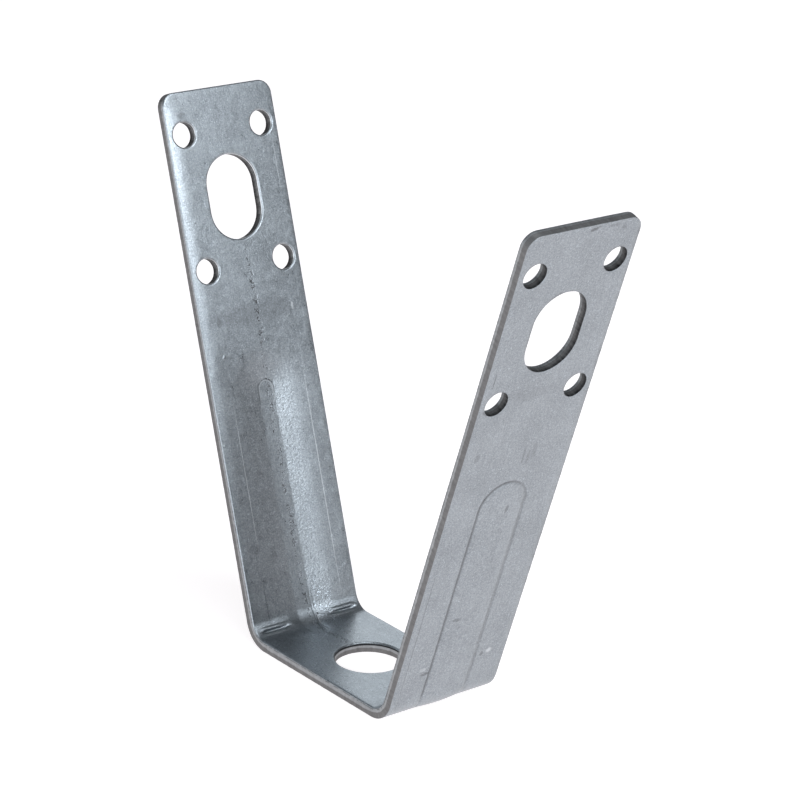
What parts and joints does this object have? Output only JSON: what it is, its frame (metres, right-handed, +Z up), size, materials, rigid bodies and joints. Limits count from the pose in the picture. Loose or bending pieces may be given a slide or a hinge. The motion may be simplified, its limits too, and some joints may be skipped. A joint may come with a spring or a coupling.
{
  "type": "roofing sheet hanger",
  "caption": "Splayed U of ribbed sheet steel that straddles a trapezoidal roofing sheet's rib and carries a threaded rod in its base.",
  "frame": {"origin": "middle of the base's underside, on the axis of the rod hole", "axes": "+Z up between the legs, X along the base through both legs, Y across the strip"},
  "size_m": [0.1076, 0.025, 0.1007],
  "materials": {
    "zinc_steel": "satin zinc coating with a fine grain"
  },
  "bodies": {
    "root": {"hanger": "zinc_steel"}
  },
  "joints": []
}
